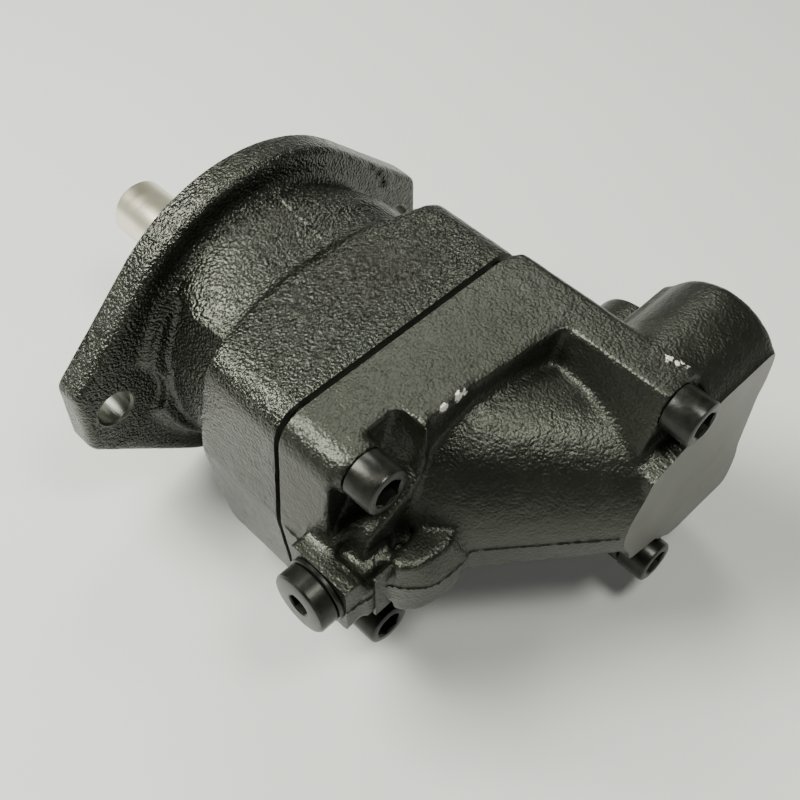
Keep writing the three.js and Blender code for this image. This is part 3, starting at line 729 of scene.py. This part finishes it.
def barrel_housing():
    blank = cast(barrel_housing_blank(), FIRST_GRID, 1, 0)
    blank = cut(blank, *screw_rooms(), ridge_nicks())
    blank = cast(blank, SKIN_GRID, 2, SKIN_WANDER)
    parting_flash(blank, 0.75, 11, lambda c: c.x > 96 and c.y < 40 and c.x < REAR_X - 1)

    room = turned([
        (-12, 0), (-12, 38), (22, 38), (22, 32), (52.3, 32), (52.3, 28.7), (64.3, 28.7), (64.3, 0),
    ])
    steps = [
        ("DIFFERENCE", block((60, -130, -130), (93.5, 130, 130))),
        ("DIFFERENCE", block((REAR_X, -130, -130), (230, 130, 130))),
        ("DIFFERENCE", block((60, PORT_FACE, -130), (230, 130, 130))),
        ("DIFFERENCE", block((60, -130, -130), (230, -69, 130))),
        ("UNION", block((136.2, -57.5, -14), (137.4, -46, 9))),
        ("DIFFERENCE", rod(90, 117.3, 38, 96)),
        ("DIFFERENCE", moved(room, BARREL_LINE)),
    ]
    for side in (-1, 1):
        z = side * PORT_Z
        kidney = BARREL_LINE @ Vector((63.3, 0, side * 16.9))
        steps.append(("DIFFERENCE", post(70, 100, PORT_BORE, PORT_X, z)))
        steps.append(("DIFFERENCE", post(93.2, 95.6, PORT_BORE, PORT_X, z, 64, 14.8)))
        steps.append(("DIFFERENCE", slanted(kidney, Vector((PORT_X, 74, z)), 6.5)))
    steps += [
        ("DIFFERENCE", post(80, 100, DRAIN_PORT_BORE, DRAIN_PORT_X, 0)),
        ("DIFFERENCE", post(93.4, 95.6, DRAIN_PORT_BORE, DRAIN_PORT_X, 0, 64, 11.6)),
        ("DIFFERENCE", post(50, 81, DRAIN_WAY, DRAIN_PORT_X, 0, 32)),
        ("DIFFERENCE", post(-70, -61, 9.1, DRAIN_X, 0)),
        ("DIFFERENCE", post(-68, -20, DRAIN_WAY, DRAIN_X, 0, 32)),
    ]
    for y, z in SCREWS:
        seat = seat_of(y)
        steps.append(("DIFFERENCE", rod_at(90, seat + 4, SCREW_WAY, y, z, 32)))
        steps.append(("DIFFERENCE", rod_at(seat, seat + 3, 10, y, z)))
    blank = worked(blank, *steps)
    bmesh.ops.dissolve_degenerate(blank, dist=1e-3, edges=blank.edges)
    drilled(blank, lambda c: math.hypot(c.x - PORT_X, abs(c.z) - PORT_Z) < 15 and c.y > 60, 1)
    drilled(blank, lambda c: math.hypot(c.x - DRAIN_PORT_X, c.z) < 11.8 and c.y > 60, 1)
    drilled(blank, lambda c: c.x < 93.6 or c.y > PORT_FACE - 0.01 or c.x > REAR_X - 0.01, 2)
    finished(
        "barrel_housing_casting", blank, "casing", "rear_casting", ["barrel_housing"],
        others=("bore", "face"),
    )


# ---- fasteners and the shaft ----
def hex_bar(x0, x1, across):
    return rod(x0, x1, across / math.sqrt(3), 6)


def cap_screw(number, y, z):
    seat = seat_of(y) + 0.3
    face = seat + 12
    body = turned([
        (66, 0), (66, 5), (67, 6), (seat, 6), (seat, 8.6), (seat + 0.4, 9), (face - 1.1, 9),
        (face - 0.35, 8.6), (face, 7.9), (face, 0),
    ])
    socket = moved(hex_bar(face - 6, face + 1, 10), Matrix.Rotation(0.22, 4, "X"))
    body = cut(body, socket, rod(face - 0.5, face + 0.2, 5.3, 48, 6.2))
    moved(body, Matrix.Translation((0, y, z)))
    finished(
        f"cap_screw_{number}", body, "casing", "oxide", [f"housing_screw_{number}"], 30,
    )


ONTO_DRAIN = Matrix.Translation((DRAIN_X, 0, 0)) @ Matrix.Rotation(-math.pi / 2, 4, "Z")


def plug():
    body = turned([
        (61.3, 0), (61.3, 7.5), (62.3, 8.5), (71.3, 8.5), (71.3, 11.6), (71.7, 12), (77.5, 12),
        (78.3, 11.4), (78.5, 10.8), (78.5, 0),
    ])
    body = cut(body, hex_bar(73.5, 80, 8), rod(78, 78.7, 4.3, 48, 5.0))
    moved(body, ONTO_DRAIN)
    finished("drain_plug_body", body, "casing", "oxide", ["drain_plug"], 30)


def washer():
    ring = turned([(69.3, 8.9), (69.3, 12.5), (69.6, 12.8), (70.7, 12.8), (71, 12.5), (71, 8.9)], ring=True)
    moved(ring, ONTO_DRAIN)
    finished("bonded_washer", ring, "casing", "oxide", ["drain_plug_washer"], 30)


def ball(centre, radius):
    bm = bmesh.new()
    bmesh.ops.create_uvsphere(bm, u_segments=32, v_segments=20, radius=radius)
    return moved(bm, Matrix.Translation(centre))


def shaft():
    body = turned([
        (-70, 0), (-71.6, 1.6), (-73, 3.1), (-73, 11.3), (-72.7, 11.6), (-71.5, 12.6), (-71.2, 12.7),
        (-12, 12.7), (-10.7, 14), (2, 14), (2, 15), (30, 15), (30, 16.5), (60, 16.5), (60, 20), (84, 20),
        (84, 24), (84.5, 24.5), (105.1, 24.5), (105.6, 24), (105.6, 0),
    ], 128)
    seats = [ball((105, 0, 0), 5.5)]
    for i in range(5):
        angle = i * FULL_TURN / 5
        seats.append(ball((105, 18 * math.cos(angle), 18 * math.sin(angle)), 6))
    keyway = eased(block((-66, -3.1, -20), (-32, 3.1, -9.3)), 3.05, 8, "z")
    body = cut(body, *seats, keyway)
    finished("turned_shaft", body, "shaft", "shaft", ["drive_shaft"], 30)


def key():
    bar = eased(block((-65.9, -3.0, -15.5), (-32.1, 3.0, -9.4)), 2.95, 8, "z")
    bar = eased(bar, 0.3, 2, None, 60)
    finished("feather_key", bar, "shaft", "bearing", ["shaft_key"], 30)


# ---- what stays as CAD made it ----
INNER_FINISH = {
    "housing_seal_ring": "rubber", "shaft_seal": "rubber", "seal_circlip": "oxide", "valve_plate": "bronze",
    "ring_gear": "gear", "timing_gear": "gear", "cylinder_barrel": "gear",
}


def dress_inner_pieces(replaced):
    for name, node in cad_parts.items():
        if name not in replaced:
            finish = FINISHES[INNER_FINISH.get(name, "bearing")]
            node.data.materials.clear()
            node.data.materials.append(finish)


# ---- setting ----
def floor():
    bm = bmesh.new()
    bmesh.ops.create_grid(bm, x_segments=1, y_segments=1, size=3)
    mesh = bpy.data.meshes.new("floor")
    bm.to_mesh(mesh)
    bm.free()
    paper = Finish("pale_floor")
    cloud = paper.grain(3, 2, 0.5)
    tone = paper.blend(cloud, (0.58, 0.58, 0.57, 1), (0.61, 0.61, 0.60, 1))
    paper.surface(Base_Color=tone)
    paper.shader.inputs["Roughness"].default_value = 0.7
    paper.shader.inputs["Emission Color"].default_value = (1.0, 1.0, 0.97, 1)
    paper.shader.inputs["Emission Strength"].default_value = 0.05
    mesh.materials.append(paper.material)
    ground = bpy.data.objects.new("floor", mesh)
    mesh.transform(Matrix.Translation((0.1, 0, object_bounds()[0][2] - 0.0005)))
    bpy.context.scene.collection.objects.link(ground)
    ground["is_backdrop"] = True


def soft_light(name, place, aim, size, power):
    lamp = bpy.data.lights.new(name, "AREA")
    lamp.shape = "RECTANGLE"
    lamp.size, lamp.size_y = size
    lamp.energy = power
    lamp.color = LAMP_COLOUR
    holder = bpy.data.objects.new(name, lamp)
    turn = (Vector(aim) - Vector(place)).to_track_quat("-Z", "Y").to_matrix().to_4x4()
    holder.matrix_world = Matrix.Translation(place) @ turn
    bpy.context.scene.collection.objects.link(holder)


def studio():
    world = bpy.data.worlds.new("studio")
    world.use_nodes = True
    tree = world.node_tree
    sky = tree.nodes["Background"]
    sky.inputs["Color"].default_value = (0.98, 1.0, 0.95, 1)
    up = tree.nodes.new("ShaderNodeSeparateXYZ")
    tree.links.new(tree.nodes.new("ShaderNodeTexCoord").outputs["Generated"], up.inputs[0])
    glow = tree.nodes.new("ShaderNodeMapRange")
    for socket, value in {"From Min": 0.08, "From Max": 0.4, "To Min": 0.45, "To Max": 0.03}.items():
        glow.inputs[socket].default_value = value
    tree.links.new(up.outputs["Z"], glow.inputs["Value"])
    tree.links.new(glow.outputs[0], sky.inputs["Strength"])
    bpy.context.scene.world = world
    middle = (0.09, 0, 0)
    soft_light("overhead", (0.47, 0.05, 0.90), middle, (0.22, 0.22), 6)
    soft_light("front_left", (-0.42, -0.42, 0.90), middle, (0.60, 0.60), 29)
    soft_light("far_side", (-0.45, 0.56, 1.0), middle, (0.40, 0.40), 5.5)


def camera():
    lens = bpy.data.cameras.new("camera")
    lens.lens = 51.75
    lens.sensor_width = 36
    lens.clip_start = 0.01
    holder = bpy.data.objects.new("camera", lens)
    columns = Matrix(((0.7008, -0.5662, 0.4339), (0.7133, 0.5504, -0.4339), (0.0069, 0.6136, 0.7896)))
    holder.matrix_world = Matrix.Translation((0.2734, -0.1829, 0.3450)) @ columns.to_4x4()
    bpy.context.scene.collection.objects.link(holder)
    bpy.context.scene.camera = holder


# ---- making ----
camera()
bearing_housing()
barrel_housing()
for number, (y, z) in enumerate(SCREWS, 1):
    cap_screw(number, y, z)
plug()
washer()
shaft()
key()
dress_inner_pieces({
    "bearing_housing", "barrel_housing", "drain_plug", "drain_plug_washer", "drive_shaft", "shaft_key",
    *[f"housing_screw_{number}" for number in range(1, 5)],
})
floor()
studio()
